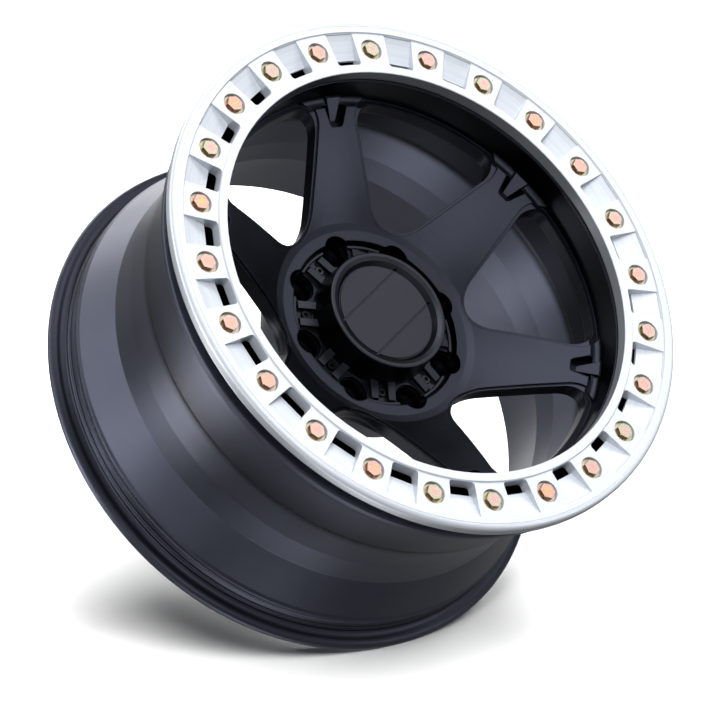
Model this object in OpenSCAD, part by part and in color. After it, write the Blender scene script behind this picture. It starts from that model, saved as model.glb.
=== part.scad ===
/* [Rim] */
// Diameter over the rim flanges
rim_od = 547.5; // [510:0.5:620]
// Depth from the ring's face to the rear edge of the flange
rim_depth = 285; // [262:1:330]
// Height of the flange above the bead seat
flange_h = 17.3; // [14:0.1:20]
// Width of the rear flange
flange_w = 13; // [10:0.5:16]
// Wall of the barrel
barrel_wall = 7; // [5:0.5:10]
// Depth of the well below the bead seat
well_drop = 18; // [12:1:24]
// Height of the bead shoulder behind the clamped bead
shoulder_h = 8; // [5:0.5:10]
// Width of the clamped bead's seat
lock_seat_w = 19; // [16:0.5:24]
// Bore of the valve hole
valve_d = 11.5; // [8:0.1:16]

/* [Beadlock ring] */
// Thickness of the ring
ring_t = 14; // [12:0.5:17]
// Width of the ring from its outer edge to its bore
ring_w = 57.75; // [52:0.25:62]
// Width of the raised lip at the ring's edge
lip_w = 12; // [9:0.5:13]
// Width of the raised band round the ring's bore
band_w = 8.4; // [6:0.2:8.8]
// Depth of the land between the band and the lip
land_t = 1.6; // [0.8:0.1:2.4]
// How far the ring's lip reaches back over the bead
lip_reach = 3; // [1:0.5:5]
// Distance of the bolt circle inside the bead seat
bolt_inset = 13.45; // [12.5:0.05:16]
// Distance of the slots' inner ends inside the bolt circle
slot_inset = 17.75; // [15:0.05:20]
// Radial length of the slot through the ring
slot_l = 9.8; // [6:0.1:12]
// Width of each pocket, as an angle about the wheel
pocket_angle = 6.8; // [4:0.1:8]
// Thickness left under the low end of each ramp
ramp_land = 3; // [1.5:0.1:5]
// Height of the wall at the ramp's high end
ramp_step = 1.3; // [0.5:0.1:2.5]
// Radius of the pocket's inner corners
pocket_corner = 3.4; // [1.5:0.1:4.5]
// Depth of the cast pockets behind the slots
cast_pocket_t = 26; // [16:1:30]

/* [Ring bolts] */
// Diameter of the bolt shank
bolt_d = 10; // [8:0.5:12]
// Width of the hexagon across its flats
bolt_af = 14.2; // [13:0.1:17]
// Height of the bolt head
head_h = 5; // [4:0.5:7]
// Length of the shank below the head
bolt_l = 32; // [24:1:40]
// Depth of the head below the ring's face
head_sink = 0; // [0:0.1:1.5]
// Diameter of the washer
washer_d = 21.5; // [18.5:0.5:22]
// Thickness of the washer
washer_t = 1.8; // [1:0.1:2.2]
// Clearance round the washer and round the shank
bolt_gap = 0.5; // [0.2:0.1:1]

/* [Spokes] */
// Depth of the spoke ends behind the ring
dish_out = 33; // [26:1:45]
// Depth of the spoke roots behind the ring
dish_in = 95; // [85:1:105]
// Bulge of the spoke face at its middle
face_bulge = 3; // [0:0.5:6]
// Width of a spoke at its middle
spoke_w = 60.6; // [48:0.2:68]
// Taper of each side of a spoke
spoke_taper = 10; // [6:0.5:13]
// Thickness of the spokes along the axle
spoke_t = 19; // [17:1:26]
// Radius of the rounded tip of a window
window_tip = 37; // [28:1:40]
// Radius of a window's outer corners
window_corner = 18; // [12:0.5:22]
// Width of the ledge round each window
ledge_w = 3.2; // [2:0.2:5]
// Depth of the ledge below the spoke face
ledge_t = 2.2; // [1:0.2:4]
// Width of the band between a window and the neck
window_band = 5.5; // [3.5:0.5:8]
// Width of the gutter between the spoke ends and the neck
gutter_w = 11.7; // [9:0.1:15]
// Length of the notch in the end of a spoke
notch_l = 17; // [10:0.5:22]
// Width of the notch at the spoke's end
notch_w = 27; // [20:0.5:32]
// Depth of the notch at its inner end
notch_t = 5; // [3:0.5:7]
// Width of the wedge's top face at its outer end
wedge_w = 16; // [12:0.5:18]
// Front wall left over the hollow back of a spoke
spoke_web = 11; // [8:0.5:14]
// Side walls left beside the hollow back of a spoke
spoke_side = 9; // [7:0.5:12]

/* [Hub] */
// Offset of the mounting face from the rim's centre plane
wheel_offset = -18; // [-30:1:-4]
// Diameter of the centre bore
hub_bore_d = 125.5; // [116:0.1:132]
// Diameter of the lug circle
lug_circle_d = 165.1; // [160:0.1:170]
// Bore for the wheel studs
stud_bore_d = 15; // [13:0.1:17]
// Diameter of the pocket for each lug nut
lug_pocket_d = 29; // [26:0.5:31]
// Depth of the hub's pocket below its face
hub_pocket_t = 13; // [9:0.5:17]
// Thickness under the lug nuts' seats
lug_web = 26; // [18:1:30]
// Diameter of the mounting face
pad_d = 200; // [190:1:206]

/* [Centre cap] */
// Diameter of the cap's rim
cap_d = 126.4; // [118:0.2:128]
// Height of the cap's rim above its base
cap_h = 39; // [28:1:48]
// Diameter of the cap's recessed face
cap_face_d = 100; // [84:1:104]
// Depth of the recessed face
cap_sink = 5; // [2:0.5:8]
// Width of the raised band across the face
cap_band_w = 46; // [30:1:60]
// Wall of the cap
cap_wall = 3.5; // [2.5:0.1:4.5]
// Thickness of the cap's base
cap_base_t = 4.6; // [3:0.1:6]
// Clearance between the cap's base and the hub's pocket
cap_gap = 2.5; // [1:0.1:4]
// Diameter of the circle of cap screws
screw_circle_d = 148; // [146:0.5:152]
// Reach of the cap's base beyond its screws
cap_ear_reach = 14; // [12:0.5:17]
// Diameter of the screw shanks
screw_d = 5; // [4:0.1:6]
// Length of the screw shanks
screw_l = 14; // [10:0.5:16]

/* [Hidden] */
bolt_count = 24;
spoke_count = 6;
lug_count = 8;
$fn = 96;

// Radii of the rim, worked in from the flange
rim_r = rim_od / 2;
bead_r = rim_r - flange_h;
bolt_r = bead_r - bolt_inset;
ring_bore_r = rim_r - ring_w;
neck_step = 1.5;
neck_r = ring_bore_r - neck_step;
neck_relief = 2.5;
neck_fillet = 6.5;
wall_r = neck_r + neck_relief;
spoke_end_r = wall_r - gutter_w;
window_r = wall_r - window_band;
well_r = bead_r - well_drop;

// Depths behind the ring's face
clamp_h = 4;
flange_in_h = rim_depth - flange_w;
centre_h = (ring_t + clamp_h + flange_in_h) / 2;
pad_h = centre_h - wheel_offset;
spoke_out_h = ring_t + dish_out;
spoke_in_h = ring_t + dish_in;
hub_face_h = spoke_in_h + 2;
hub_floor_h = hub_face_h + hub_pocket_t;
lug_seat_h = pad_h - lug_web;
shelf_h = spoke_out_h + 3.5;
disc_back_h = spoke_out_h + spoke_t;

// Hub radii, out to the pocket that the cap's base lies in
screw_r = screw_circle_d / 2;
cap_base_r = screw_r + cap_ear_reach;
hub_pocket_r = cap_base_r + cap_gap;
hub_bore_r = hub_bore_d / 2;
lug_r = lug_circle_d / 2;
lug_pocket_r = lug_pocket_d / 2;
pad_r = pad_d / 2;
hub_rim_w = 19;
root_r = hub_pocket_r + hub_rim_w;

// The notch in a spoke's end
notch_in_r = spoke_end_r - notch_l;
notch_floor_h = face_h(notch_in_r) + notch_t;

// The bead seats
seat_chamfer = 1.5;
shoulder_w = 10;
shoulder_round = 3;
hump_h = 1.6;
seat_rise = 1.4;
seat_w = 20;
flange_round = flange_w / 2;
flange_fillet = 6;

// Fastener stack in a counterbore of the ring
counterbore_r = washer_d / 2 + bolt_gap;
head_under_h = head_sink + head_h;
counterbore_h = head_under_h + washer_t;
bolt_end_room = 3;
bolt_hole_r = bolt_d / 2 + 0.1;
bolt_pass_r = bolt_d / 2 + bolt_gap;

// The ring's pockets lie between its bolts
slot_in_r = bolt_r - slot_inset;
slot_out_r = slot_in_r + slot_l;
lip_r = rim_r - lip_w;
ramp_top_r = lip_r - 1.6;
ramp_end_h = land_t + ramp_step;
ramp_low_h = ring_t - ramp_land;
cast_pocket_h = ring_t + cast_pocket_t;
neck_wall = 6;
seat_wall = 7;
cast_pocket_in_r = wall_r + neck_wall;
cast_pocket_out_r = bead_r - seat_wall;
cast_pocket_angle = pocket_angle + 1.4;
cast_corner = 5;

// How far a rounded corner stands proud of the sides that it joins
blend = 0.02;

// A spoke's width is stated at this radius, and its sides meet on the windows' centre lines
half_pitch = 180 / spoke_count;
spoke_mid_r = 158;
side_angle = half_pitch + spoke_taper;
side_meet_r = (spoke_w / 2 + tan(spoke_taper) * spoke_mid_r)
              / (tan(half_pitch) + tan(spoke_taper)) / cos(half_pitch);

// The cap sits on the floor of the hub's pocket
cap_base_h = hub_floor_h - cap_base_t;
cap_top_h = hub_floor_h - cap_h;
cap_r = cap_d / 2;
cap_foot_r = cap_r + 2.2;
cap_face_r = cap_face_d / 2;
cap_face_h = cap_top_h + cap_sink;
cap_rim_w = 4.2;
ear_arc_w = 3.6;
ear_arc_rise = 3.2;
ear_block_w = 8;
ear_block_rise = 6;
ear_scallop_r = lug_pocket_r + 1.2;
groove_w = 1.6;
groove_t = 1.4;
screw_head_r = 0.85 * screw_d;
screw_head_h = 0.8 * screw_d;
screw_sink = 2;

bolt_names = [for (i = [1 : bolt_count]) str("bolt_", i)];
washer_names = [for (i = [1 : bolt_count]) str("washer_", i)];
screw_names = [for (i = [1 : lug_count]) str("cap_screw_", i)];

// Points of an arc about a centre, from one angle to another
function arc(centre, radius, from, to, steps = 6) =
    [for (i = [0 : steps]) let (a = from + (to - from) * i / steps)
        [centre[0] + radius * cos(a), centre[1] + radius * sin(a)]];

// Depth of the spoke face at a radius: a line from root to end, with a bulge toward the front
function face_h(r) =
    let (t = (r - root_r) / (spoke_end_r - root_r))
    spoke_in_h + (spoke_out_h - spoke_in_h) * t - 4 * face_bulge * t * (1 - t);

// The spoke face as points, moved back by some depth
function face_points(back, from, to, steps = 10) =
    [for (i = [0 : steps]) let (r = from + (to - from) * i / steps) [r, face_h(r) + back]];

// Half of a spoke's width at a distance from the axle
function spoke_half_w(u) = spoke_w / 2 - tan(spoke_taper) * (u - spoke_mid_r);

// A point at a radius and an angle
function polar(r, a) = [r * cos(a), r * sin(a)];

// Points mirrored in the X axis and put in the other order
function mirrored(points) = [for (i = [len(points) - 1 : -1 : 0]) [points[i][0], -points[i][1]]];

// Wheel space has the axle on Z and depth behind the ring's face as height.
// The finished wheel stands upright with its face toward -Y.
module stand() {
    translate([0, -rim_depth / 2, 0]) rotate([-90, 0, 0]) children();
}

module around(count, start = 0) {
    for (i = [0 : count - 1]) rotate(start + 360 * i / count) children();
}

module bore(r, from_h, to_h) {
    translate([0, 0, from_h]) cylinder(r = r, h = to_h - from_h);
}

// A window's outline out to some radius, its sides grown by some margin, with its axis on X
module window_outline(margin, outer) {
    tip = window_tip + margin;
    corner = window_corner + margin;
    meet = side_meet_r - margin / sin(side_angle);
    tip_x = meet + tip / sin(side_angle);
    across = meet * sin(side_angle) + corner;
    along = sqrt(pow(outer - corner, 2) - pow(across, 2));
    corner_c = [along * cos(side_angle) + across * sin(side_angle),
                along * sin(side_angle) - across * cos(side_angle)];
    side_n = [-sin(side_angle), cos(side_angle)];
    tip_side = [tip_x, 0] + (tip - blend) * side_n;
    corner_side = corner_c + (corner - blend) * side_n;
    corner_out = polar(2 * outer, atan2(corner_c[1], corner_c[0]));
    upper = [tip_side, corner_side, corner_c, corner_out];
    translate([tip_x, 0]) circle(r = tip);
    for (s = [-1, 1]) translate([corner_c[0], s * corner_c[1]]) circle(r = corner);
    intersection() {
        circle(r = outer - blend);
        polygon(concat(upper, mirrored(upper)));
    }
}

// A four-sided outline along X, its sides running to the origin. Its inner corners are rounded,
// and its outer ones too unless it is open.
module sector_outline(from_r, to_r, angle, corner, open = false) {
    a = angle / 2;
    x0 = from_r + corner;
    x1 = to_r - corner;
    y0 = x0 * tan(a) - corner / cos(a);
    y1 = x1 * tan(a) - corner / cos(a);
    side = (corner - blend) * [-sin(a), cos(a)];
    end = open ? [] : [[to_r - blend, y1]];
    upper = concat([[from_r + blend, y0], [x0, y0] + side, [x1, y1] + side], end);
    polygon(concat(upper, mirrored(upper)));
    for (s = [-1, 1]) {
        translate([x0, s * y0]) circle(r = corner);
        if (!open) translate([x1, s * y1]) circle(r = corner);
    }
}

// The barrel with its two bead seats, the well, the rear flange and the neck behind the ring
module barrel() {
    lock_h = ring_t + lock_seat_w;
    ridge_r = bead_r + shoulder_h;
    ridge_end_h = lock_h + 2 + shoulder_w;
    seat_h = flange_in_h - seat_w;
    flange_top_r = rim_r - flange_round;
    taper_h = ridge_end_h + 12;
    well_h = centre_h + 40;
    barrel_r = bead_r - 6;
    hump_r = bead_r + hump_h;
    seat_end_r = bead_r + seat_rise;
    bore_rear_r = bead_r - barrel_wall;
    outer = concat(
        [[bead_r - seat_chamfer, ring_t], [bead_r, ring_t + seat_chamfer], [bead_r, lock_h]],
        arc([ridge_r - shoulder_round, lock_h + 2 + shoulder_round], shoulder_round, -60, 0, 3),
        arc([ridge_r - shoulder_round, ridge_end_h - shoulder_round], shoulder_round, 0, 60, 3),
        [[barrel_r, taper_h], [barrel_r - 1.5, taper_h + 10],
         [well_r + 2.5, well_h - 46], [well_r, well_h - 20], [well_r, well_h + 14]],
        [[hump_r - 2, seat_h - 9], [hump_r, seat_h - 6], [hump_r, seat_h - 3], [bead_r, seat_h]],
        [[seat_end_r, flange_in_h - flange_fillet]],
        arc([seat_end_r + flange_fillet, flange_in_h - flange_fillet], flange_fillet, 180, 90, 4),
        arc([flange_top_r, flange_in_h + flange_round], flange_round, -90, 60, 7),
        [[bead_r + 4, rim_depth - 1], [bead_r + 2, rim_depth]]
    );
    bore_front_r = barrel_r - 2.5 - barrel_wall;
    inner = [
        [bore_rear_r + 1, rim_depth],
        [bore_rear_r, rim_depth - 2],
        [well_r - barrel_wall, well_h + 11],
        [well_r - barrel_wall, well_h - 22],
        [bore_front_r, disc_back_h + 8],
        [bore_front_r - 1, disc_back_h + 3],
        [bore_front_r - 5, disc_back_h],
        [wall_r, disc_back_h],
        [wall_r, ring_t + 5],
        [neck_r, ring_t]
    ];
    rotate_extrude() polygon(concat(outer, inner));
}

// The dished plate that the windows are cut from, and the hub behind it
module disc() {
    rotate_extrude() polygon(concat(
        [[hub_bore_r, hub_face_h], [root_r - 8, hub_face_h]],
        face_points(0, root_r, spoke_end_r),
        [[spoke_end_r + 1.2, shelf_h]],
        arc([wall_r - neck_fillet, shelf_h - neck_fillet], neck_fillet, 90, 0, 5),
        [[wall_r + 2, shelf_h - neck_fillet], [wall_r + 2, disc_back_h]],
        face_points(spoke_t, spoke_end_r, root_r),
        [[root_r - 8, pad_h - 6], [pad_r, pad_h], [hub_bore_r, pad_h]]
    ));
}

// The ledge round a window follows the dished face and widens to a band at the neck
module window_ledges() {
    band_h = shelf_h + 1.2;
    intersection() {
        rotate_extrude() polygon(concat(
            [[hub_pocket_r, hub_face_h + ledge_t], [root_r - 8, hub_face_h + ledge_t]],
            face_points(ledge_t, root_r, spoke_end_r),
            [[spoke_end_r + 1.2, band_h], [wall_r + 3, band_h]],
            [[wall_r + 3, ring_t], [hub_pocket_r, ring_t]]
        ));
        translate([0, 0, ring_t]) linear_extrude(pad_h) around(spoke_count, half_pitch)
            window_outline(ledge_w, wall_r + 1);
    }
}

// The hollow in the back of each spoke follows the face, and its sides follow the spoke
module spoke_hollows() {
    from_r = root_r + 14;
    to_r = notch_in_r - 8;
    corner = 6;
    w0 = spoke_half_w(from_r) - spoke_side;
    w1 = spoke_half_w(to_r) - spoke_side;
    upper = [[to_r, w1 - corner], [to_r - corner, w1], [from_r + corner, w0], [from_r, w0 - corner]];
    intersection() {
        rotate_extrude() polygon(concat(
            face_points(spoke_web, from_r - 2, to_r + 2),
            [[to_r + 2, pad_h + 30], [from_r - 2, pad_h + 30]]
        ));
        translate([0, 0, ring_t]) linear_extrude(pad_h + 30) around(spoke_count) {
            polygon(concat(mirrored(upper), upper));
        }
    }
}

// The notch in the end of each spoke runs out to the foot of the neck
module spoke_notch() {
    in_w = 0.28 * notch_w;
    outer_x = spoke_end_r + 4;
    half_w = notch_w / 2;
    upper = [[notch_in_r, in_w - 2], [notch_in_r + 2, in_w], [spoke_end_r + 1, half_w], [outer_x, half_w]];
    translate([0, 0, ring_t]) linear_extrude(notch_floor_h - ring_t)
        polygon(concat(mirrored(upper), upper));
}

// The wedge that rises from the notch's floor to the neck
module spoke_wedge() {
    in_half_w = 3.1;
    in_r = notch_in_r + 7.7;
    in_h = notch_floor_h - 1.5;
    ridge_r = wall_r - 2.2;
    ridge_h = spoke_out_h - 2;
    length = norm([ridge_r - in_r, in_h - ridge_h]);
    rise = atan2(in_h - ridge_h, ridge_r - in_r);
    taper = atan2(wedge_w / 2 - in_half_w, length);
    outer_x = wall_r + 1;
    base_h = notch_floor_h + 1;
    intersection() {
        rotate([90, 0, 0]) translate([0, 0, -notch_w]) linear_extrude(2 * notch_w) polygon([
            [in_r, in_h], [ridge_r, ridge_h], [outer_x, ridge_h + 2], [outer_x, base_h], [in_r, base_h]
        ]);
        intersection_for(s = [0, 1]) mirror([0, s, 0]) translate([in_r, 0, in_h]) rotate([0, rise, 0])
            rotate([0, 0, taper]) translate([-10, in_half_w, 0]) rotate([90, 0, 90])
                linear_extrude(2 * length)
                    polygon([[-notch_w, -10], [-5, -10], [7.5, 15], [7.5, 40], [-notch_w, 40]]);
    }
}

// Deep pockets between the bolt bosses, seen through the ring's slots
module neck_pockets() {
    translate([0, 0, ring_t - 1]) linear_extrude(cast_pocket_h - ring_t + 1) around(bolt_count)
        sector_outline(cast_pocket_in_r, cast_pocket_out_r, cast_pocket_angle, cast_corner);
}

// Pocket, conical seat and stud bore of one lug
module lug_hole() {
    seat_t = (lug_pocket_r - stud_bore_d / 2 - 1) / tan(30) / 2;
    translate([lug_r, 0, 0]) {
        bore(lug_pocket_r, ring_t, lug_seat_h);
        translate([0, 0, lug_seat_h - 0.01])
            cylinder(r1 = lug_pocket_r - 2, r2 = stud_bore_d / 2, h = seat_t);
        bore(stud_bore_d / 2, lug_seat_h, pad_h + 1);
    }
}

// The relief between the studs in the mounting face
module pad_relief() {
    relief_r = 11;
    relief_t = 14;
    translate([lug_r, 0, 0]) bore(relief_r, pad_h - relief_t, pad_h + 1);
}

module wheel_casting() {
    bolt_hole_h = head_under_h + bolt_l + bolt_end_room;
    screw_hole_h = hub_floor_h + screw_l;
    valve_angle = 270;
    color("#2b2e33") stand() difference() {
        union() {
            barrel();
            difference() {
                disc();
                window_ledges();
                translate([0, 0, ring_t]) linear_extrude(pad_h) around(spoke_count, half_pitch)
                    window_outline(0, window_r);
                spoke_hollows();
                around(spoke_count) spoke_notch();
            }
            around(spoke_count) spoke_wedge();
        }
        bore(hub_bore_r, hub_face_h - 1, pad_h + 1);
        bore(hub_pocket_r, hub_face_h - 1, hub_floor_h);
        around(lug_count, 180 / lug_count) lug_hole();
        around(lug_count) {
            pad_relief();
            translate([screw_r, 0, 0]) bore(screw_d / 2 + 0.1, hub_floor_h - 1, screw_hole_h);
        }
        neck_pockets();
        around(bolt_count, 180 / bolt_count) translate([bolt_r, 0, 0])
            bore(bolt_hole_r, ring_t - 1, bolt_hole_h);
        rotate(valve_angle) translate([well_r - barrel_wall, 0, disc_back_h + 26])
            rotate([0, 90, 0]) cylinder(d = valve_d, h = well_drop + 3 * barrel_wall);
    }
}

// The ring's section, with the stepped lip that clamps the bead
module ring_body() {
    nose_r = bead_r + 1;
    edge_h = 11;
    lip_round = 5.3;
    line_r = rim_r - 5.75;
    line_w = 0.4;
    band_r = ring_bore_r + band_w;
    rotate_extrude() polygon(concat(
        [[ring_bore_r, 0.6], [ring_bore_r + 0.6, 0], [band_r, 0], [band_r + 1.1, land_t]],
        [[lip_r - 0.9, land_t], [lip_r, 0], [line_r - line_w, 0], [line_r, 0.6], [line_r + line_w, 0.1]],
        arc([rim_r - lip_round, lip_round + 0.1], lip_round, -75, 0, 5),
        [[rim_r, edge_h]],
        arc([rim_r - 3, edge_h], 3, 0, 70, 3),
        [[nose_r + 5, ring_t + lip_reach], [nose_r + 1.5, ring_t + lip_reach], [nose_r, ring_t + 0.4]],
        [[nose_r - 1, ring_t], [ring_bore_r + 1, ring_t], [ring_bore_r, ring_t - 1]]
    ));
}

// One pocket: a slot through the ring, and a ramp that climbs from it to a low wall inside the lip
module ring_pocket() {
    intersection() {
        translate([0, 0, -1]) linear_extrude(ring_t + 2)
            sector_outline(slot_in_r, rim_r, pocket_angle, pocket_corner, open = true);
        rotate([90, 0, 0]) translate([0, 0, -rim_r / 4]) linear_extrude(rim_r / 2) polygon([
            [slot_in_r - 5, -2], [slot_in_r - 5, ring_t + 2], [slot_out_r, ring_t + 2],
            [slot_out_r, ramp_low_h], [ramp_top_r, ramp_end_h], [ramp_top_r, -2]
        ]);
    }
}

module beadlock_ring() {
    color("#e9eaec") stand() difference() {
        ring_body();
        around(bolt_count) ring_pocket();
        around(bolt_count, 180 / bolt_count) translate([bolt_r, 0, 0]) {
            bore(counterbore_r, -1, counterbore_h);
            bore(bolt_pass_r, -1, ring_t + 1);
        }
    }
}

// Puts a fastener into the place of one bolt
module at_bolt(i) {
    stand() rotate(360 / bolt_count * (i - 0.5)) translate([bolt_r, 0, 0]) children();
}

// Hexagon head with its corners turned off, and the shank
module bolt(i) {
    corner_r = bolt_af / 2 / cos(30);
    turn = 37 * i;
    color("#d9b46a") at_bolt(i) {
        intersection() {
            rotate(turn) bore(corner_r, head_sink, head_under_h, $fn = 6);
            translate([0, 0, head_sink])
                cylinder(r1 = bolt_af / 2 + 0.4, r2 = bolt_af / 2 + 0.4 + head_h, h = head_h);
        }
        bore(bolt_d / 2, head_under_h - 0.01, head_under_h + bolt_l);
    }
}

module washer(i) {
    color("#d8b878") at_bolt(i) difference() {
        bore(washer_d / 2, head_under_h, counterbore_h);
        bore(bolt_pass_r, head_under_h - 1, counterbore_h + 1);
    }
}

// The cap's turned body: rim, recessed face and hollow inside
module cap_body() {
    inner_r = min(cap_r - cap_rim_w - 2, cap_face_r + 5);
    hollow_r = cap_r - cap_wall;
    difference() {
        rotate_extrude() polygon(concat(
            [[0, cap_face_h], [cap_face_r, cap_face_h], [cap_face_r, cap_face_h + groove_t]],
            [[cap_face_r + 1.2, cap_face_h + groove_t], [inner_r, cap_top_h + 1.5]],
            [[cap_r - cap_rim_w, cap_top_h]],
            arc([cap_r - 1.5, cap_top_h + 1.5], 1.5, -90, 0, 3),
            [[cap_r, cap_top_h + 8], [cap_foot_r, cap_base_h], [cap_foot_r, hub_floor_h], [0, hub_floor_h]]
        ));
        rotate_extrude() polygon([
            [0, cap_face_h + groove_t + cap_wall], [hollow_r - 4, cap_face_h + groove_t + cap_wall],
            [hollow_r - 2.5, cap_base_h], [hollow_r - 2.5, hub_floor_h + 1], [0, hub_floor_h + 1]
        ]);
    }
}

// The base with its raised edge, which the lug nuts' scallops cut into one arc an ear
module cap_base() {
    arc_r = cap_base_r - ear_arc_w;
    edge_h = cap_base_h - ear_arc_rise;
    rotate_extrude() polygon([
        [cap_r - cap_wall, cap_base_h], [arc_r, cap_base_h], [arc_r, edge_h + 0.6], [arc_r + 0.6, edge_h],
        [cap_base_r - 0.8, edge_h], [cap_base_r, edge_h + 0.8], [cap_base_r, hub_floor_h],
        [cap_r - cap_wall, hub_floor_h]
    ]);
}

// The two blocks of an ear, either side of its screw
module ear_blocks() {
    from_r = cap_r - 2;
    length = cap_base_r - ear_arc_w - from_r;
    block_y = screw_head_r + 1.2;
    top_h = cap_base_h - ear_block_rise;
    for (y = [block_y, -block_y - ear_block_w])
        translate([from_r, y + ear_block_w, 0]) rotate([90, 0, 0]) linear_extrude(ear_block_w) polygon([
            [0, cap_base_h + 0.5], [0, top_h - 3], [2, top_h], [length - 2, top_h + 2],
            [length, cap_base_h + 0.5]
        ]);
}

module centre_cap() {
    color("#25272b") stand() difference() {
        union() {
            cap_body();
            cap_base();
            around(lug_count) ear_blocks();
        }
        around(lug_count, 180 / lug_count) translate([lug_r, 0, 0])
            bore(ear_scallop_r, cap_top_h + 12, hub_floor_h + 1);
        around(lug_count) translate([screw_r, 0, 0]) {
            bore(screw_d / 2 + 0.3, cap_base_h - 5, hub_floor_h + 1);
            bore(screw_head_r + 0.5, cap_base_h - 8, cap_base_h + screw_sink);
        }
        for (s = [-1, 1]) translate([-cap_face_r, s * cap_band_w / 2 - groove_w / 2, cap_face_h - 1])
            cube([2 * cap_face_r, groove_w, groove_t + 1]);
    }
}

// Socket head screw of the cap
module cap_screw(i) {
    seat_h = cap_base_h + screw_sink;
    color("#8b8e93") stand() rotate(360 / lug_count * (i - 1)) translate([screw_r, 0, 0]) difference() {
        union() {
            bore(screw_head_r, seat_h - screw_head_h, seat_h);
            bore(screw_d / 2, seat_h - 0.01, hub_floor_h + screw_l - 1);
        }
        bore(screw_d * 0.46, seat_h - screw_head_h - 1, seat_h - screw_head_h + 0.5 * screw_d, $fn = 6);
    }
}

wheel_casting();
beadlock_ring();
centre_cap();
for (i = [1 : bolt_count]) bolt(i);
for (i = [1 : bolt_count]) washer(i);
for (i = [1 : lug_count]) cap_screw(i);
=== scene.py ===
import math

import bpy
from mathutils import Euler, Matrix, Vector

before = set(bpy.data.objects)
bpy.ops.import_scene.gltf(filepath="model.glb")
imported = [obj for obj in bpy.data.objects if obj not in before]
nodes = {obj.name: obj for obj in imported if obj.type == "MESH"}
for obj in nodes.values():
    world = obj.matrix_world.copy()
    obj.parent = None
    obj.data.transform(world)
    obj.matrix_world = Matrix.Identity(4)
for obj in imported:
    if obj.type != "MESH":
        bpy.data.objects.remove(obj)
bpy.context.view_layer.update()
scene = bpy.context.scene

# Camera, fitted to the heads of the ring bolts in the photograph
CAMERA_PLACE = Vector((-2.33261, -2.65583, 0.01180))
CAMERA_TURN = Euler((math.radians(89.375), math.radians(44.486), math.radians(-41.464)), "XYZ")
CAMERA_LENS = 180.3755
SENSOR_WIDTH = 36.0
NEAREST_SEEN = 0.1
FARTHEST_SEEN = 60.0

camera_data = bpy.data.cameras.new("camera")
camera_data.lens = CAMERA_LENS
camera_data.sensor_width = SENSOR_WIDTH
camera_data.clip_start = NEAREST_SEEN
camera_data.clip_end = FARTHEST_SEEN
camera = bpy.data.objects.new("camera", camera_data)
camera.location = CAMERA_PLACE
camera.rotation_euler = CAMERA_TURN
scene.collection.objects.link(camera)
scene.camera = camera
scene.view_settings.view_transform = "Standard"

camera_axes = CAMERA_TURN.to_matrix()
VIEW_RIGHT = camera_axes @ Vector((1, 0, 0))
VIEW_UP = camera_axes @ Vector((0, 1, 0))
VIEW_BACK = camera_axes @ Vector((0, 0, 1))


def seen(right, up, back):
    """A direction given by how far it goes right, up and back as the camera sees it."""
    return (VIEW_RIGHT * right + VIEW_UP * up + VIEW_BACK * back).normalized()


# Node helpers
FLOAT = "NodeSocketFloat"
VECTOR = "NodeSocketVector"
NO_VECTOR = (0, 0, 0)

# The colour sockets of a Mix node
MIX_FIRST = 6
MIX_SECOND = 7
MIX_RESULT = 2

# Where most of a noise lies, from 0 to 1
NOISE_LOW = 0.3
NOISE_MIDDLE = 0.5
NOISE_HIGH = 0.7


def new_material(name):
    """An empty node material and its tree."""
    material = bpy.data.materials.new(name)
    material.use_nodes = True
    tree = material.node_tree
    tree.nodes.clear()
    return material, tree


def add(tree, kind, **values):
    """A new node, with its settings."""
    node = tree.nodes.new(kind)
    for key, value in values.items():
        setattr(node, key, value)
    return node


def group(name, inputs, outputs):
    """A new shader group, with the sockets that feed it and the ones that it fills."""
    tree = bpy.data.node_groups.new(name, "ShaderNodeTree")
    for label, kind, default in inputs:
        socket = tree.interface.new_socket(name=label, in_out="INPUT", socket_type=kind)
        socket.default_value = default
    for label, kind in outputs:
        tree.interface.new_socket(name=label, in_out="OUTPUT", socket_type=kind)
    source = tree.nodes.new("NodeGroupInput")
    sink = tree.nodes.new("NodeGroupOutput")
    return tree, source.outputs, sink.inputs


def use_group(tree, source, place):
    """A group placed in a material, reading the given place."""
    node = add(tree, "ShaderNodeGroup", node_tree=source)
    tree.links.new(place, node.inputs["Place"])
    return node


def object_place(tree):
    """Object coordinates, which are the frame's own metres."""
    return add(tree, "ShaderNodeTexCoord").outputs["Object"]


def true_normal(tree):
    """The direction that the mesh's own face looks in."""
    return add(tree, "ShaderNodeNewGeometry").outputs["True Normal"]


def math_node(tree, operation, a, b=None):
    """A Math node; a and b are numbers or sockets."""
    node = add(tree, "ShaderNodeMath", operation=operation)
    for socket, value in zip(node.inputs, (a, b)):
        if value is None:
            continue
        if isinstance(value, (int, float)):
            socket.default_value = value
        else:
            tree.links.new(value, socket)
    return node.outputs[0]


def plus(tree, a, b):
    return math_node(tree, "ADD", a, b)


def minus(tree, a, b):
    return math_node(tree, "SUBTRACT", a, b)


def times(tree, a, b):
    return math_node(tree, "MULTIPLY", a, b)


def parts_of(tree, vector):
    """The x, y and z of a vector."""
    node = add(tree, "ShaderNodeSeparateXYZ")
    tree.links.new(vector, node.inputs[0])
    return node.outputs


def length_of(tree, vector):
    node = add(tree, "ShaderNodeVectorMath", operation="LENGTH")
    tree.links.new(vector, node.inputs[0])
    return node.outputs["Value"]


def dot(tree, first, second):
    node = add(tree, "ShaderNodeVectorMath", operation="DOT_PRODUCT")
    tree.links.new(first, node.inputs[0])
    tree.links.new(second, node.inputs[1])
    return node.outputs["Value"]


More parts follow.
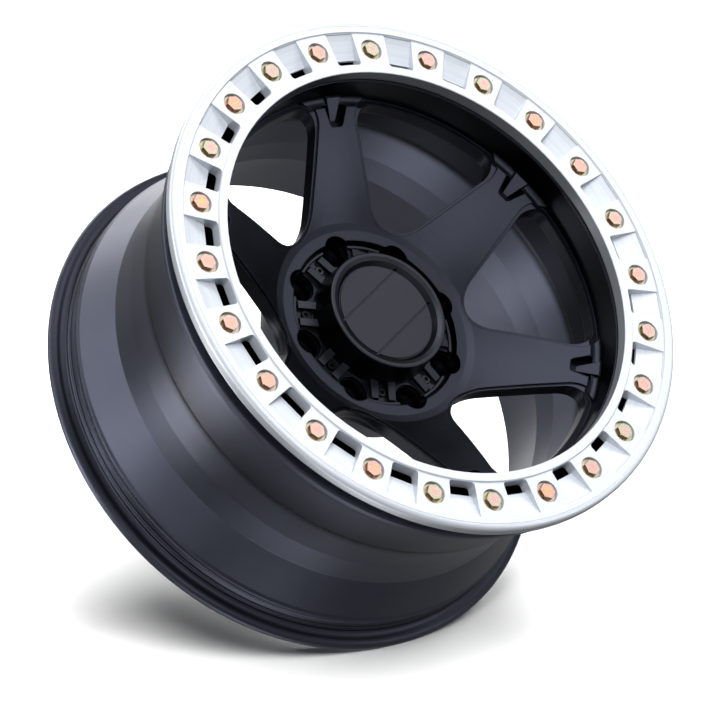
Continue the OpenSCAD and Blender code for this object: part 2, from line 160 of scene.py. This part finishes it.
def scaled(tree, colour, factor):
    """A colour made lighter or darker by a factor."""
    node = add(tree, "ShaderNodeVectorMath", operation="SCALE")
    tree.links.new(colour, node.inputs[0])
    tree.links.new(factor, node.inputs["Scale"])
    return node.outputs[0]


def mixed(tree, factor, first, second):
    """The first colour where the factor is 0, and the second where it is 1."""
    node = add(tree, "ShaderNodeMix", data_type="RGBA")
    tree.links.new(factor, node.inputs[0])
    tree.links.new(first, node.inputs[MIX_FIRST])
    tree.links.new(second, node.inputs[MIX_SECOND])
    return node.outputs[MIX_RESULT]


def range_node(tree, value, low, high, to_low, to_high):
    """A value carried from one range to another."""
    node = add(tree, "ShaderNodeMapRange")
    tree.links.new(value, node.inputs["Value"])
    node.inputs["From Min"].default_value = low
    node.inputs["From Max"].default_value = high
    node.inputs["To Min"].default_value = to_low
    node.inputs["To Max"].default_value = to_high
    return node.outputs["Result"]


def between(tree, value, start, full):
    """0 at start and 1 at full, with a soft step between; start may be the larger one."""
    node = add(tree, "ShaderNodeMapRange", interpolation_type="SMOOTHSTEP")
    tree.links.new(value, node.inputs["Value"])
    node.inputs["From Min"].default_value = start
    node.inputs["From Max"].default_value = full
    return node.outputs["Result"]


def bell(tree, value, middle, width):
    """1 at the middle, falling to 0 a width away on either side."""
    away = math_node(tree, "ABSOLUTE", minus(tree, value, middle))
    return between(tree, away, width, 0.0)


def ramp_node(tree, fac, stops):
    """A colour ramp; each stop is a place from 0 to 1 and a colour."""
    node = add(tree, "ShaderNodeValToRGB")
    elements = node.color_ramp.elements
    while len(elements) < len(stops):
        elements.new(0.5)
    for element, (place, colour) in zip(elements, stops):
        element.position = place
        element.color = (*colour, 1.0)
    tree.links.new(fac, node.inputs["Fac"])
    return node.outputs["Color"]


def noise(tree, vector, scale, detail=2.0, roughness=0.5):
    """Noise in space; a scale of 100 gives patches of about a centimetre."""
    node = add(tree, "ShaderNodeTexNoise")
    node.inputs["Scale"].default_value = scale
    node.inputs["Detail"].default_value = detail
    node.inputs["Roughness"].default_value = roughness
    tree.links.new(vector, node.inputs["Vector"])
    return node.outputs["Fac"]


def line_noise(tree, distance, pitch, detail):
    """Noise that varies along one distance only; pitch is its patches to a metre."""
    node = add(tree, "ShaderNodeTexNoise", noise_dimensions="1D")
    node.inputs["Scale"].default_value = 1.0
    node.inputs["Detail"].default_value = detail
    tree.links.new(times(tree, distance, pitch), node.inputs["W"])
    return node.outputs["Fac"]


def two_tone(tree, value, deep, pale, spread):
    """A colour from deep to pale, over the given spread to either side of a noise's middle."""
    return ramp_node(tree, value, [(NOISE_MIDDLE - spread, deep), (NOISE_MIDDLE + spread, pale)])


def gloss(tree, value, smooth, rough):
    """A roughness from smooth to rough, as a noise goes from low to high."""
    return range_node(tree, value, NOISE_LOW, NOISE_HIGH, smooth, rough)


def arm_of(tree, place):
    """The arm that reaches from the axle straight out to a place."""
    parts = parts_of(tree, place)
    arm = add(tree, "ShaderNodeCombineXYZ")
    tree.links.new(parts["X"], arm.inputs["X"])
    tree.links.new(parts["Z"], arm.inputs["Z"])
    return arm.outputs[0]


def radius_of(tree, place):
    """How far a place is from the axle."""
    return length_of(tree, arm_of(tree, place))


def depth_of(tree, place):
    """How far a place is along the axle, from the middle toward the vehicle."""
    return parts_of(tree, place)["Y"]


def turn_of(tree, place):
    """The angle of a place round the axle, in radians."""
    parts = parts_of(tree, place)
    return math_node(tree, "ARCTAN2", parts["Z"], parts["X"])


def slope_of(tree, normal):
    """1 where a face looks along the axle, 0 where it looks straight out from it."""
    return math_node(tree, "ABSOLUTE", parts_of(tree, normal)["Y"])


# Places on the wheel, in metres: R is out from the axle, Y is along it, and the face looks to -Y
BOLT_COUNT = 24
BOLT_CIRCLE_R = 0.2430
RING_BORE_R = 0.2160
BORE_SHADE_R = RING_BORE_R + 0.0015
BORE_SHADE_END_R = RING_BORE_R + 0.0035
DISH_R = 0.240
DISH_END_R = 0.250
DISH_BACK_Y = -0.022
BARREL_START_Y = -0.012
HUB_FACE_Y = -0.0315
HUB_FRONT_Y = -0.026
HUB_FRONT_END_Y = -0.020
HUB_POCKET_R = 0.0905
HUB_ROOT_R = 0.1095
SHADED_POCKET_R = 0.102
SHADED_POCKET_END_R = 0.104
SHADED_POCKET_START_Y = HUB_FACE_Y + 0.0005
SHADED_POCKET_Y = HUB_FACE_Y + 0.002
POCKET_FLOOR_Y = 0.010
POCKET_FLOOR_END_Y = 0.012
REAR_RIM_START_R = 0.250
REAR_RIM_R = 0.252
RIDGE_Y = 0.1245
GROOVE_Y = 0.1193
KNURL_Y = 0.1110

# Where the washer shows round a bolt's head, in metres from the bolt's own middle
WASHER_START_R = 0.0078
WASHER_R = 0.0084

# Relief of the casting, in metres, but for the knurl's count and the dish, which grows with the
# square of how far a place is from the hub's pocket
RIDGE_WIDTH = 0.0022
RIDGE_HEIGHT = 0.0007
GROOVE_WIDTH = 0.0020
GROOVE_DEPTH = 0.0009
KNURL_WIDTH = 0.0030
KNURL_HEIGHT = 0.00016
KNURL_COUNT = 640.0
HUB_DISH = 2.6

# Slopes below which a face counts as a wall of the dish, the ring's bore or a bolt's side, each of
# which gets painted shade
WALL_SLOPE = 0.30
WALL_SLOPE_END = 0.55
BORE_SLOPE = 0.30
BORE_SLOPE_END = 0.80
SIDE_SLOPE = 0.35
SIDE_SLOPE_END = 0.62

# A face's normal times its arm from the axle, which is below 0 where it looks in at the axle
INWARD_START = -0.05
INWARD_FULL = -0.12

# Shares of painted shade on such places, and of painted light inside the barrel
WALL_PAINTED_SHADE = 0.80
BORE_PAINTED_SHADE = 0.55
INSIDE_PAINTED_LIGHT = 0.2


# Effects, each a group of its own
def make_coat_grain():
    """Powder coat: fine pebbles over a slow waviness, and a slow mottle for the gloss."""
    tree, given, out = group("coat_grain", [("Place", VECTOR, NO_VECTOR)],
                             [("Height", FLOAT), ("Mottle", FLOAT)])
    place = given["Place"]
    pebble = noise(tree, place, scale=900.0, roughness=0.6)
    wave = noise(tree, place, scale=120.0, detail=1.0)
    wave_share = 0.8
    tree.links.new(plus(tree, pebble, times(tree, wave, wave_share)), out["Height"])
    tree.links.new(noise(tree, place, scale=14.0, detail=3.0, roughness=0.55), out["Mottle"])
    return tree


def make_turned_lines():
    """Lathe lines: rings about the axle that vary only with distance from it."""
    tree, given, out = group("turned_lines", [("Place", VECTOR, NO_VECTOR)],
                             [("Height", FLOAT), ("Band", FLOAT), ("Radius", FLOAT)])
    radius = radius_of(tree, given["Place"])
    tree.links.new(line_noise(tree, radius, pitch=2500.0, detail=3.0), out["Height"])
    tree.links.new(line_noise(tree, radius, pitch=260.0, detail=2.0), out["Band"])
    tree.links.new(radius, out["Radius"])
    return tree


def make_wall_shade():
    """How much a spot lies on a steep wall of the dish or in the hub's pocket, which get painted
    shade, or on the inside of the barrel, which gets painted light.
    """
    tree, given, out = group("wall_shade", [("Place", VECTOR, NO_VECTOR), ("Face", VECTOR, NO_VECTOR)],
                             [("Wall", FLOAT), ("Inside", FLOAT)])
    arm = arm_of(tree, given["Place"])
    radius = length_of(tree, arm)
    depth = depth_of(tree, given["Place"])
    steep = between(tree, slope_of(tree, given["Face"]), WALL_SLOPE_END, WALL_SLOPE)
    front = between(tree, depth, BARREL_START_Y, DISH_BACK_Y)
    within = between(tree, radius, DISH_END_R, DISH_R)
    wall = times(tree, times(tree, steep, front), within)
    in_pocket = between(tree, radius, SHADED_POCKET_END_R, SHADED_POCKET_R)
    sunk = between(tree, depth, SHADED_POCKET_START_Y, SHADED_POCKET_Y)
    before_floor = between(tree, depth, POCKET_FLOOR_END_Y, POCKET_FLOOR_Y)
    pocket = times(tree, times(tree, in_pocket, sunk), before_floor)
    tree.links.new(math_node(tree, "MAXIMUM", wall, pocket), out["Wall"])
    facing_in = between(tree, dot(tree, arm, given["Face"]), INWARD_START, INWARD_FULL)
    behind = between(tree, depth, DISH_BACK_Y, BARREL_START_Y)
    tree.links.new(times(tree, facing_in, behind), out["Inside"])
    return tree


def make_cast_lines():
    """Relief in metres: the rear rim's ridge, groove and knurled band, and the hub's soft dish."""
    tree, given, out = group("cast_lines", [("Place", VECTOR, NO_VECTOR)], [("Height", FLOAT)])
    radius = radius_of(tree, given["Place"])
    depth = depth_of(tree, given["Place"])
    ridge = times(tree, bell(tree, depth, RIDGE_Y, RIDGE_WIDTH), RIDGE_HEIGHT)
    groove = times(tree, bell(tree, depth, GROOVE_Y, GROOVE_WIDTH), GROOVE_DEPTH)
    teeth = math_node(tree, "SINE", times(tree, turn_of(tree, given["Place"]), KNURL_COUNT))
    knurl = times(tree, teeth, bell(tree, depth, KNURL_Y, KNURL_WIDTH))
    rim = plus(tree, minus(tree, ridge, groove), times(tree, knurl, KNURL_HEIGHT))
    rim = times(tree, rim, between(tree, radius, REAR_RIM_START_R, REAR_RIM_R))
    reach = math_node(tree, "MAXIMUM", minus(tree, radius, HUB_POCKET_R), 0.0)
    reach = math_node(tree, "MINIMUM", reach, HUB_ROOT_R - HUB_POCKET_R)
    dish = times(tree, times(tree, reach, reach), HUB_DISH)
    dish = times(tree, dish, between(tree, depth, HUB_FRONT_END_Y, HUB_FRONT_Y))
    tree.links.new(plus(tree, rim, dish), out["Height"])
    return tree


def make_bolt_place():
    """How far a spot lies from the middle of its own bolt, and a chance number for that bolt."""
    tree, given, out = group("bolt_place", [("Place", VECTOR, NO_VECTOR)],
                             [("Reach", FLOAT), ("Bolt", FLOAT)])
    full_turn = 2 * math.pi
    turn = plus(tree, turn_of(tree, given["Place"]), math.pi)
    count = times(tree, turn, BOLT_COUNT / full_turn)
    aside = minus(tree, math_node(tree, "FRACT", count), 0.5)
    aside = times(tree, aside, full_turn * BOLT_CIRCLE_R / BOLT_COUNT)
    outward = minus(tree, radius_of(tree, given["Place"]), BOLT_CIRCLE_R)
    spot = add(tree, "ShaderNodeCombineXYZ")
    tree.links.new(aside, spot.inputs["X"])
    tree.links.new(outward, spot.inputs["Y"])
    tree.links.new(length_of(tree, spot.outputs[0]), out["Reach"])
    chance = add(tree, "ShaderNodeTexWhiteNoise", noise_dimensions="1D")
    tree.links.new(math_node(tree, "FLOOR", count), chance.inputs["W"])
    tree.links.new(chance.outputs["Value"], out["Bolt"])
    return tree


COAT_GRAIN = make_coat_grain()
TURNED_LINES = make_turned_lines()
WALL_SHADE = make_wall_shade()
CAST_LINES = make_cast_lines()
BOLT_PLACE = make_bolt_place()

# Finishes
COAT_DEEP = (0.052, 0.056, 0.077)
COAT_PALE = (0.060, 0.065, 0.088)
MACHINED_DEEP = (0.545, 0.58, 0.635)
MACHINED_PALE = (0.605, 0.64, 0.69)
PLATING_GOLD = (0.84, 0.60, 0.22)
PLATING_ORANGE = (0.84, 0.52, 0.32)
PLATING_PINK = (0.84, 0.50, 0.46)
PLATING_ROSE = (0.80, 0.56, 0.50)
PLATING_GREEN = (0.58, 0.64, 0.44)
PLATING_STRAW = (0.70, 0.62, 0.52)
# The bolts' sides: the plating's brown tint, darkened as painted shade
SIDE_SHADE_DEEP = (0.16, 0.075, 0.022)
SIDE_SHADE_PALE = (0.34, 0.19, 0.07)
WASHER_GREEN = (0.62, 0.60, 0.38)
WASHER_ROSE = (0.70, 0.60, 0.54)
CAP_DEEP = (0.052, 0.055, 0.069)
CAP_PALE = (0.060, 0.063, 0.078)
OXIDE_DEEP = (0.035, 0.035, 0.04)
OXIDE_PALE = (0.07, 0.07, 0.078)

EDGE_SAMPLES = 4


def finish_shader(tree, colour, roughness, metallic, height, bump, edge, form=None):
    """The shader of a metal or coated piece: bump is its grain's height and edge its rounding,
    and form is a relief, all in metres."""
    shader = add(tree, "ShaderNodeBsdfPrincipled")
    shader.inputs["Metallic"].default_value = metallic
    tree.links.new(colour, shader.inputs["Base Color"])
    tree.links.new(roughness, shader.inputs["Roughness"])
    bevel = add(tree, "ShaderNodeBevel", samples=EDGE_SAMPLES)
    bevel.inputs["Radius"].default_value = edge
    normal = bevel.outputs[0]
    if form is not None:
        shape = add(tree, "ShaderNodeBump")
        shape.inputs["Distance"].default_value = 1.0
        tree.links.new(form, shape.inputs["Height"])
        tree.links.new(normal, shape.inputs["Normal"])
        normal = shape.outputs[0]
    relief = add(tree, "ShaderNodeBump")
    relief.inputs["Distance"].default_value = bump
    tree.links.new(height, relief.inputs["Height"])
    tree.links.new(normal, relief.inputs["Normal"])
    tree.links.new(relief.outputs[0], shader.inputs["Normal"])
    out = add(tree, "ShaderNodeOutputMaterial")
    tree.links.new(shader.outputs[0], out.inputs["Surface"])


def satin_coat():
    """The casting's dark satin coat, darkened as painted shade on steep walls and in the hub's pocket,
    and lightened as painted light inside the barrel.
    """
    material, tree = new_material("satin_coat")
    place = object_place(tree)
    grain = use_group(tree, COAT_GRAIN, place)
    lines = use_group(tree, CAST_LINES, place)
    shade = use_group(tree, WALL_SHADE, place)
    tree.links.new(true_normal(tree), shade.inputs["Face"])
    colour = two_tone(tree, grain.outputs["Mottle"], COAT_DEEP, COAT_PALE, spread=0.15)
    rough = gloss(tree, grain.outputs["Mottle"], smooth=0.36, rough=0.42)
    # Painted shade darkens the coat on the dish's steep walls and in the hub's pocket; painted light
    # lightens it inside the barrel
    darker = minus(tree, 1.0, times(tree, shade.outputs["Wall"], WALL_PAINTED_SHADE))
    lighter = plus(tree, darker, times(tree, shade.outputs["Inside"], INSIDE_PAINTED_LIGHT))
    colour = scaled(tree, colour, lighter)
    finish_shader(tree, colour, rough, metallic=1.0, height=grain.outputs["Height"], bump=0.00004,
                  edge=0.0016, form=lines.outputs["Height"])
    return material


def machined_face():
    """The ring's bright turned metal, darker on the wall of its bore as painted shade."""
    material, tree = new_material("machined_face")
    place = object_place(tree)
    lines = use_group(tree, TURNED_LINES, place)
    colour = two_tone(tree, lines.outputs["Band"], MACHINED_DEEP, MACHINED_PALE, spread=0.2)
    # Painted shade: the steep wall of the bore is darkened in its colour
    steep = between(tree, slope_of(tree, true_normal(tree)), BORE_SLOPE_END, BORE_SLOPE)
    bore = between(tree, lines.outputs["Radius"], BORE_SHADE_END_R, BORE_SHADE_R)
    bore_painted_shade = times(tree, times(tree, steep, bore), BORE_PAINTED_SHADE)
    colour = scaled(tree, colour, minus(tree, 1.0, bore_painted_shade))
    rough = gloss(tree, lines.outputs["Band"], smooth=0.30, rough=0.40)
    finish_shader(tree, colour, rough, metallic=0.42, height=lines.outputs["Height"], bump=0.00003,
                  edge=0.0008)
    return material


def plating_film(tree, place, bolt):
    """The sheen of the plating's film, which changes across each head and from bolt to bolt."""
    film_per_metre = 62.0
    bolt_share = 0.42
    patch_share = 0.34
    film_start = 0.12
    film = times(tree, bolt.outputs["Reach"], film_per_metre)
    film = plus(tree, film, times(tree, bolt.outputs["Bolt"], bolt_share))
    film = plus(tree, film, times(tree, noise(tree, place, scale=190.0), patch_share))
    stops = [
        (0.05, PLATING_GOLD),
        (0.26, PLATING_ORANGE),
        (0.46, PLATING_PINK),
        (0.66, PLATING_ROSE),
        (0.86, PLATING_GREEN),
        (0.98, PLATING_STRAW),
    ]
    return ramp_node(tree, minus(tree, film, film_start), stops)


def yellow_plating():
    """Yellow passivated zinc: a pink, gold and green sheen, sides in a dark brown that is the
    plating's tint with painted shade, and pale washers.
    """
    material, tree = new_material("yellow_plating")
    place = object_place(tree)
    bolt = use_group(tree, BOLT_PLACE, place)
    colour = plating_film(tree, place, bolt)
    # The steep sides of each head take a dark brown: the plating's tint with painted shade
    side = between(tree, slope_of(tree, true_normal(tree)), SIDE_SLOPE_END, SIDE_SLOPE)
    brown = two_tone(tree, noise(tree, place, scale=420.0), SIDE_SHADE_DEEP, SIDE_SHADE_PALE, spread=0.15)
    colour = mixed(tree, side, colour, brown)
    washer = between(tree, bolt.outputs["Reach"], WASHER_START_R, WASHER_R)
    washer = times(tree, washer, minus(tree, 1.0, side))
    pale = two_tone(tree, noise(tree, place, scale=150.0), WASHER_GREEN, WASHER_ROSE, spread=0.1)
    colour = mixed(tree, washer, colour, pale)
    rough = gloss(tree, noise(tree, place, scale=300.0), smooth=0.24, rough=0.36)
    finish_shader(tree, colour, rough, metallic=0.8, height=noise(tree, place, scale=1500.0),
                  bump=0.00002, edge=0.0004)
    return material


def moulded_cap():
    """The cap's satin finish, a little smoother than the casting's."""
    material, tree = new_material("moulded_cap")
    place = object_place(tree)
    grain = use_group(tree, COAT_GRAIN, place)
    colour = two_tone(tree, grain.outputs["Mottle"], CAP_DEEP, CAP_PALE, spread=0.15)
    rough = gloss(tree, grain.outputs["Mottle"], smooth=0.30, rough=0.36)
    finish_shader(tree, colour, rough, metallic=1.0, height=grain.outputs["Height"], bump=0.00003,
                  edge=0.0008)
    return material


def dark_oxide():
    """The cap screws' dark steel."""
    material, tree = new_material("dark_oxide")
    place = object_place(tree)
    colour = two_tone(tree, noise(tree, place, scale=220.0), OXIDE_DEEP, OXIDE_PALE, spread=0.2)
    rough = gloss(tree, noise(tree, place, scale=300.0), smooth=0.28, rough=0.38)
    finish_shader(tree, colour, rough, metallic=1.0, height=noise(tree, place, scale=1800.0),
                  bump=0.00002, edge=0.0003)
    return material


FINISHES = {
    "casting": satin_coat(),
    "ring": machined_face(),
    "plated": yellow_plating(),
    "cap": moulded_cap(),
    "screws": dark_oxide(),
}


def finish_of(name):
    """The finish of a node; the ring bolts and their washers are plated."""
    if name == "wheel_casting":
        return FINISHES["casting"]
    if name == "beadlock_ring":
        return FINISHES["ring"]
    if name == "centre_cap":
        return FINISHES["cap"]
    if name.startswith("cap_screw"):
        return FINISHES["screws"]
    return FINISHES["plated"]


for name, obj in nodes.items():
    obj.data.materials.clear()
    obj.data.materials.append(finish_of(name))

# Stage: the wheel leans back on the edge of its rear rim, so the floor is tilted to it
FLOOR_NORMAL = seen(0.0, 0.955, 0.297)
FLOOR_TOUCH = 0.2958
FLOOR_SIZE = 14.0
FLOOR_WHITE = 0.93


def floor_material():
    """White ground that the camera alone sees, from above only; it keeps the wheel's shadow."""
    material, tree = new_material("ground")
    path = add(tree, "ShaderNodeLightPath")
    side = add(tree, "ShaderNodeNewGeometry")
    white = add(tree, "ShaderNodeBsdfDiffuse")
    white.inputs["Color"].default_value = (FLOOR_WHITE, FLOOR_WHITE, FLOOR_WHITE, 1.0)
    clear = add(tree, "ShaderNodeBsdfTransparent")
    front = minus(tree, 1.0, side.outputs["Backfacing"])
    shown = times(tree, path.outputs["Is Camera Ray"], front)
    mix = add(tree, "ShaderNodeMixShader")
    tree.links.new(shown, mix.inputs[0])
    tree.links.new(clear.outputs[0], mix.inputs[1])
    tree.links.new(white.outputs[0], mix.inputs[2])
    out = add(tree, "ShaderNodeOutputMaterial")
    tree.links.new(mix.outputs[0], out.inputs["Surface"])
    return material


bpy.ops.object.select_all(action="DESELECT")
bpy.ops.mesh.primitive_plane_add(size=FLOOR_SIZE)
floor = bpy.context.object
floor.name = "ground"
floor.rotation_mode = "QUATERNION"
floor.rotation_quaternion = FLOOR_NORMAL.to_track_quat("Z", "Y")
floor.location = FLOOR_NORMAL * -FLOOR_TOUCH
floor.data.materials.append(floor_material())

# World: white to the camera and through glass, dimmer where metal mirrors it, and dim as light
AMBIENT = 0.06
ROOM = 0.36

world = bpy.data.worlds.new("studio")
scene.world = world
world.use_nodes = True
sky_tree = world.node_tree
sky_tree.nodes.clear()
ray = add(sky_tree, "ShaderNodeLightPath").outputs
white_for = math_node(sky_tree, "MAXIMUM", ray["Is Camera Ray"], ray["Is Transmission Ray"])
dim = range_node(sky_tree, ray["Is Glossy Ray"], 0.0, 1.0, AMBIENT, ROOM)
sky = add(sky_tree, "ShaderNodeBackground")
sky_tree.links.new(math_node(sky_tree, "MAXIMUM", dim, white_for), sky.inputs["Strength"])
sky_out = add(sky_tree, "ShaderNodeOutputWorld")
sky_tree.links.new(sky.outputs[0], sky_out.inputs["Surface"])

# Lamps
LAMP_DISTANCE = 3.0


def towards(turn, rise):
    """A direction by its angles as the camera sees it: 0 faces the camera, +90 is the right."""
    turn = math.radians(turn)
    rise = math.radians(rise)
    return seen(math.sin(turn) * math.cos(rise), math.sin(rise), math.cos(turn) * math.cos(rise))


def lamp_side(angle):
    """How long a lamp's side is, to look as wide as the angle from the wheel."""
    return 2.0 * LAMP_DISTANCE * math.tan(math.radians(angle / 2))


def softbox(name, turn, rise, width, height, radiance):
    """A soft lamp that only shines where metal mirrors it; its angles are in degrees."""
    direction = towards(turn, rise)
    data = bpy.data.lights.new(name, "AREA")
    data.shape = "RECTANGLE"
    data.size = lamp_side(width)
    data.size_y = lamp_side(height)
    data.energy = radiance * math.pi * data.size * data.size_y
    lamp = bpy.data.objects.new(name, data)
    lamp.location = direction * LAMP_DISTANCE
    upright = VIEW_UP - direction * VIEW_UP.dot(direction)
    upright.normalize()
    across = upright.cross(direction)
    lamp.rotation_mode = "QUATERNION"
    lamp.rotation_quaternion = Matrix((across, upright, direction)).transposed().to_quaternion()
    lamp.visible_camera = False
    lamp.visible_diffuse = False
    scene.collection.objects.link(lamp)


softbox("left_core", turn=-79, rise=-12, width=22, height=15, radiance=7.4)
softbox("left_strip", turn=-79, rise=12, width=24, height=32, radiance=2.9)
softbox("left_front_box", turn=-56, rise=-12, width=22, height=16, radiance=2.4)
softbox("left_low_box", turn=-39, rise=-30, width=22, height=18, radiance=1.5)
softbox("rear_top_box", turn=-152, rise=38, width=46, height=20, radiance=4.3)
softbox("rear_left_box", turn=-104, rise=29, width=36, height=26, radiance=2.0)
softbox("rear_box", turn=-168, rise=12, width=22, height=30, radiance=1.5)
softbox("rear_low_box", turn=-115, rise=-23, width=15, height=16, radiance=6.0)
softbox("rear_below_box", turn=-118, rise=-82, width=24, height=24, radiance=1.6)
softbox("under_box", turn=-72, rise=-70, width=24, height=24, radiance=1.8)
softbox("top_box", turn=0, rise=80, width=24, height=24, radiance=1.8)
softbox("top_right_box", turn=40, rise=58, width=22, height=20, radiance=2.0)
softbox("top_left_box", turn=-26, rise=58, width=44, height=20, radiance=1.1)
softbox("front_right_box", turn=21, rise=10, width=24, height=30, radiance=1.6)
softbox("right_box", turn=76, rise=-2, width=22, height=18, radiance=2.2)
softbox("right_top_box", turn=80, rise=44, width=34, height=26, radiance=0.8)

FLOOR_FRONT = FLOOR_NORMAL.cross(VIEW_RIGHT).normalized()
if FLOOR_FRONT.dot(VIEW_BACK) < 0:
    FLOOR_FRONT.negate()


def far_lamp(name, right, front, up, spread, energy):
    """A far lamp for the floor and the matt part of each finish, never mirrored; it lies to the
    right, in front and above along the floor's own directions, and spread is in degrees."""
    direction = (VIEW_RIGHT * right + FLOOR_FRONT * front + FLOOR_NORMAL * up).normalized()
    data = bpy.data.lights.new(name, "SUN")
    data.energy = energy
    data.angle = math.radians(spread)
    lamp = bpy.data.objects.new(name, data)
    lamp.rotation_mode = "QUATERNION"
    lamp.rotation_quaternion = direction.to_track_quat("Z", "Y")
    lamp.visible_glossy = False
    lamp.visible_camera = False
    scene.collection.objects.link(lamp)


far_lamp("ceiling", right=0.22, front=-0.27, up=0.94, spread=26, energy=2.3)
far_lamp("right_ceiling", right=0.60, front=-0.42, up=0.68, spread=24, energy=1.8)
far_lamp("front_ceiling", right=0.10, front=0.66, up=0.75, spread=36, energy=5.2)
